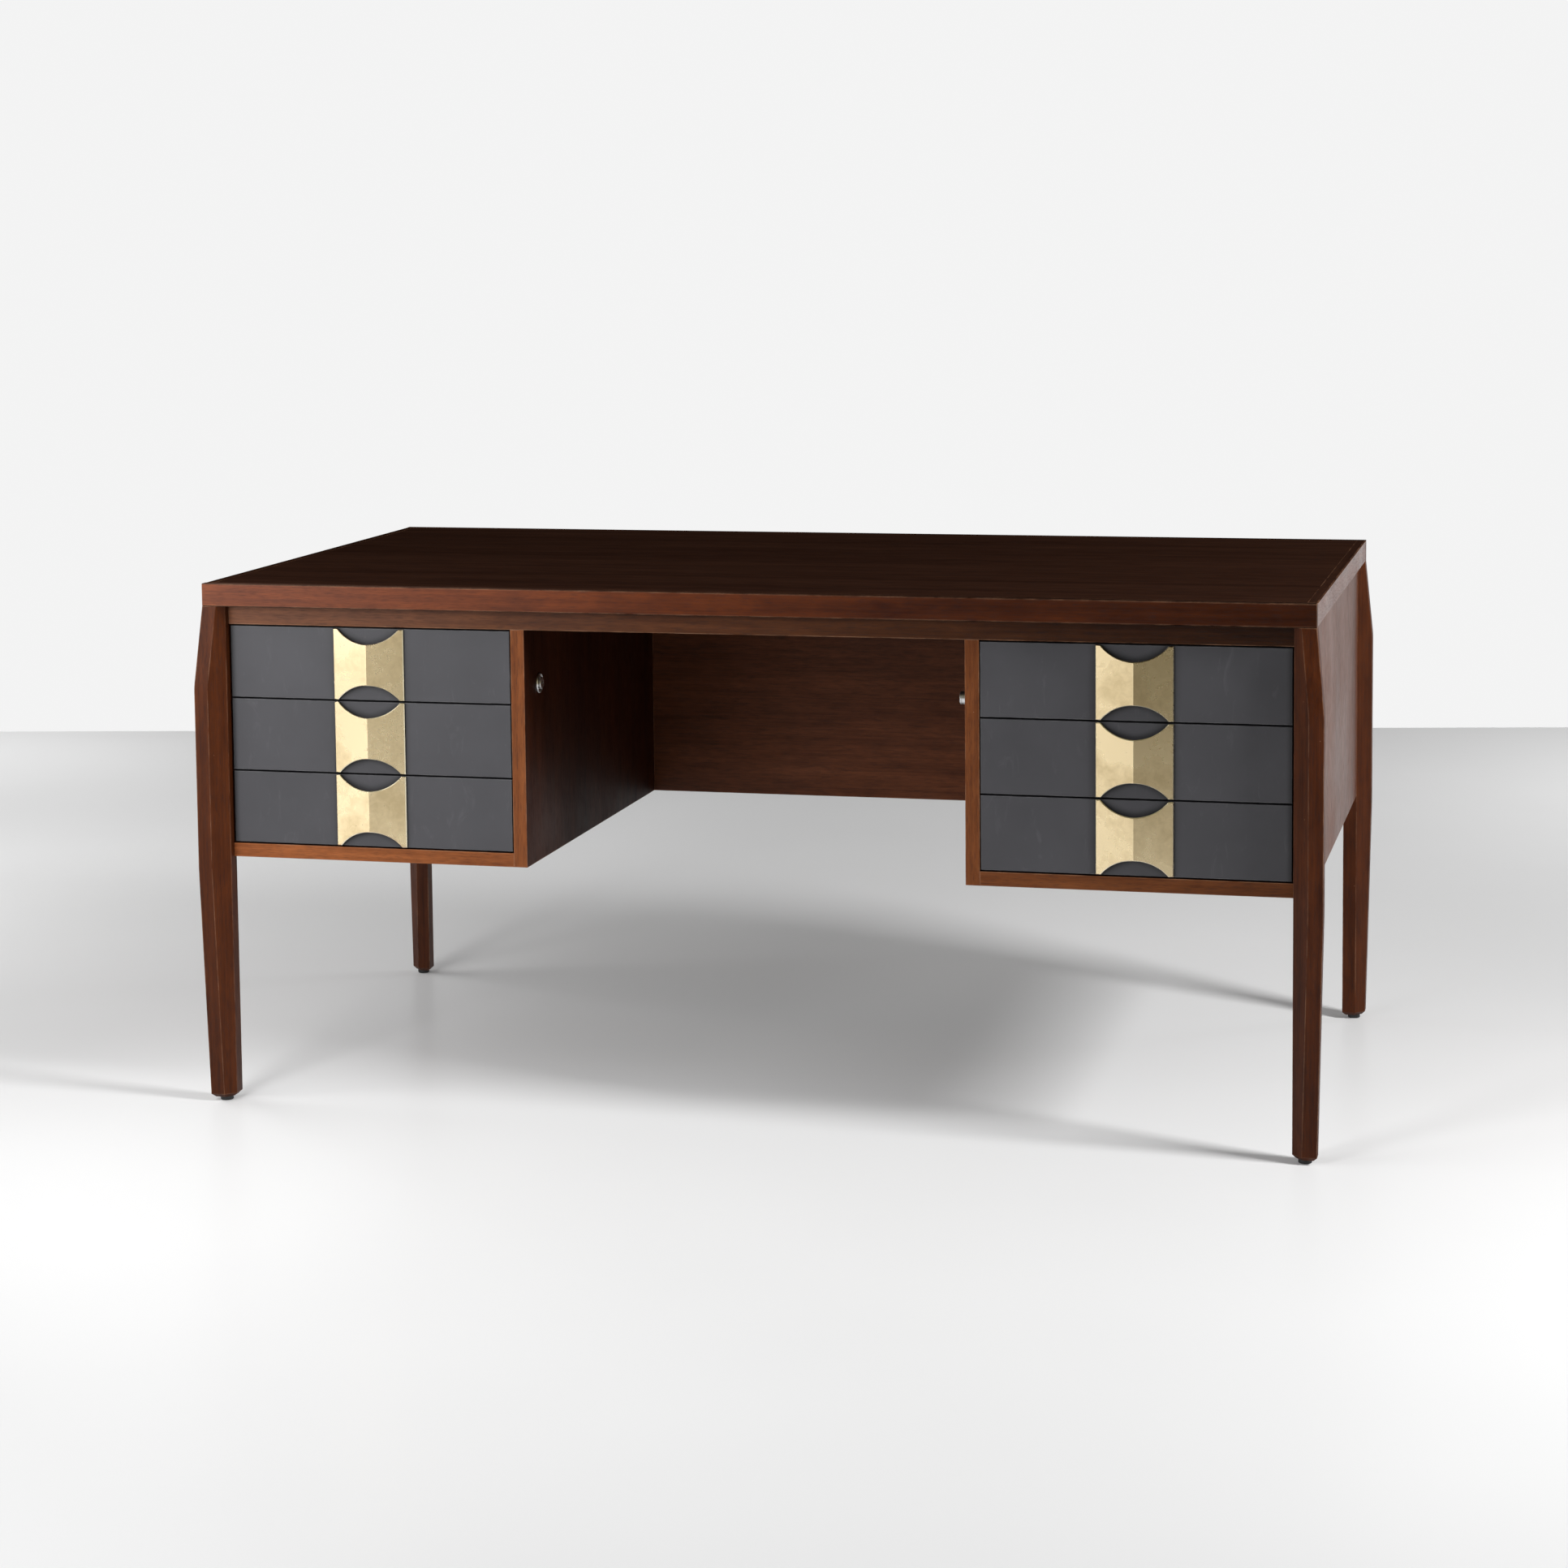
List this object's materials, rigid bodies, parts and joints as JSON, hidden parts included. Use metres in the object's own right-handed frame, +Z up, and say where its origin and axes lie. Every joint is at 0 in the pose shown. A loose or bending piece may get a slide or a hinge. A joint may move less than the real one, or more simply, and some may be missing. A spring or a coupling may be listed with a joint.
{
  "type": "partners desk",
  "caption": "Kneehole desk on diagonal plank legs, with two drawer pedestals, bent brass pulls, side locks that bar the drawers and a modesty panel.",
  "frame": {"origin": "on the floor, under the middle of the top", "axes": "+X along the top to the right of a person at the drawers, +Y from the drawer fronts to the far side, +Z up"},
  "size_m": [1.622, 0.904, 0.765],
  "materials": {
    "wood_top": "satin lacquer over very dark brown veneer",
    "wood_edging": "satin, lightly worn at the arris",
    "wood_leg": "satin",
    "wood_rail": "satin",
    "wood_panel": "satin veneer, upright grain",
    "wood_flat_panel": "satin veneer, level grain",
    "wood_bottom": "satin",
    "wood_inner": "bare hardwood",
    "drawer_wood": "clear lacquer",
    "drawer_ply": "bare plywood",
    "drawer_grey": "charcoal grey satin lacquer",
    "brass": "brushed, lightly tarnished",
    "chrome": "polished, dulled by age",
    "steel": "plain",
    "glide_black": "matte"
  },
  "bodies": {
    "desk_frame": {"top_panel": "wood_top", "top_edging_long": "wood_edging", "top_edging_short": "wood_edging", "front_rail": "wood_rail", "rear_rail": "wood_rail", "modesty_panel": "wood_flat_panel", "leg_front_left": "wood_leg", "leg_front_right": "wood_leg", "leg_rear_left": "wood_leg", "leg_rear_right": "wood_leg", "leg_glides": "glide_black", "end_panel_left": "wood_panel", "inner_panel_left": "wood_panel", "pedestal_bottom_left": "wood_bottom", "pedestal_back_left": "wood_flat_panel", "runners_left": "wood_inner", "top_cleats_left": "wood_inner", "lock_bezel_left": "chrome", "end_panel_right": "wood_panel", "inner_panel_right": "wood_panel", "pedestal_bottom_right": "wood_bottom", "pedestal_back_right": "wood_flat_panel", "runners_right": "wood_inner", "top_cleats_right": "wood_inner", "lock_bezel_right": "chrome"},
    "drawer_left_top": {"drawer_left_top_front": "drawer_grey", "drawer_left_top_box": "drawer_wood", "drawer_left_top_bottom": "drawer_ply", "drawer_left_top_pull": "brass", "drawer_left_top_fixings": "steel"},
    "drawer_left_middle": {"drawer_left_middle_front": "drawer_grey", "drawer_left_middle_box": "drawer_wood", "drawer_left_middle_bottom": "drawer_ply", "drawer_left_middle_pull": "brass", "drawer_left_middle_fixings": "steel"},
    "drawer_left_bottom": {"drawer_left_bottom_front": "drawer_grey", "drawer_left_bottom_box": "drawer_wood", "drawer_left_bottom_bottom": "drawer_ply", "drawer_left_bottom_pull": "brass", "drawer_left_bottom_fixings": "steel"},
    "lock_cylinder_left": {"lock_cylinder_left": "chrome"},
    "lock_bar_left": {"lock_bar_left": "steel"},
    "drawer_right_top": {"drawer_right_top_front": "drawer_grey", "drawer_right_top_box": "drawer_wood", "drawer_right_top_bottom": "drawer_ply", "drawer_right_top_pull": "brass", "drawer_right_top_fixings": "steel"},
    "drawer_right_middle": {"drawer_right_middle_front": "drawer_grey", "drawer_right_middle_box": "drawer_wood", "drawer_right_middle_bottom": "drawer_ply", "drawer_right_middle_pull": "brass", "drawer_right_middle_fixings": "steel"},
    "drawer_right_bottom": {"drawer_right_bottom_front": "drawer_grey", "drawer_right_bottom_box": "drawer_wood", "drawer_right_bottom_bottom": "drawer_ply", "drawer_right_bottom_pull": "brass", "drawer_right_bottom_fixings": "steel"},
    "lock_cylinder_right": {"lock_cylinder_right": "chrome"},
    "lock_bar_right": {"lock_bar_right": "steel"}
  },
  "joints": [
    {"name": "drawer_left_top_slide", "type": "slide", "parent": "desk_frame", "child": "drawer_left_top", "axis": [0, -1, 0], "range_m": [0, 0.36]},
    {"name": "drawer_left_middle_slide", "type": "slide", "parent": "desk_frame", "child": "drawer_left_middle", "axis": [0, -1, 0], "range_m": [0, 0.36]},
    {"name": "drawer_left_bottom_slide", "type": "slide", "parent": "desk_frame", "child": "drawer_left_bottom", "axis": [0, -1, 0], "range_m": [0, 0.36]},
    {"name": "lock_cylinder_left_turn", "type": "hinge", "parent": "desk_frame", "child": "lock_cylinder_left", "pos_m": [-0.3185, -0.351, 0.619], "axis": [1, 0, 0], "range_deg": [0, 90]},
    {"name": "lock_bar_left_lift", "type": "slide", "parent": "desk_frame", "child": "lock_bar_left", "axis": [0, 0, 1], "range_m": [0, 0.012]},
    {"name": "drawer_right_top_slide", "type": "slide", "parent": "desk_frame", "child": "drawer_right_top", "axis": [0, -1, 0], "range_m": [0, 0.36]},
    {"name": "drawer_right_middle_slide", "type": "slide", "parent": "desk_frame", "child": "drawer_right_middle", "axis": [0, -1, 0], "range_m": [0, 0.36]},
    {"name": "drawer_right_bottom_slide", "type": "slide", "parent": "desk_frame", "child": "drawer_right_bottom", "axis": [0, -1, 0], "range_m": [0, 0.36]},
    {"name": "lock_cylinder_right_turn", "type": "hinge", "parent": "desk_frame", "child": "lock_cylinder_right", "pos_m": [0.3185, -0.351, 0.6135], "axis": [1, 0, 0], "range_deg": [0, 90]},
    {"name": "lock_bar_right_lift", "type": "slide", "parent": "desk_frame", "child": "lock_bar_right", "axis": [0, 0, 1], "range_m": [0, 0.012]}
  ],
  "couplings": [
    {"joint": "lock_cylinder_left_turn", "follows": "lock_bar_left_lift", "rad_per_m": 130.89},
    {"joint": "lock_cylinder_right_turn", "follows": "lock_bar_right_lift", "rad_per_m": 130.89}
  ]
}
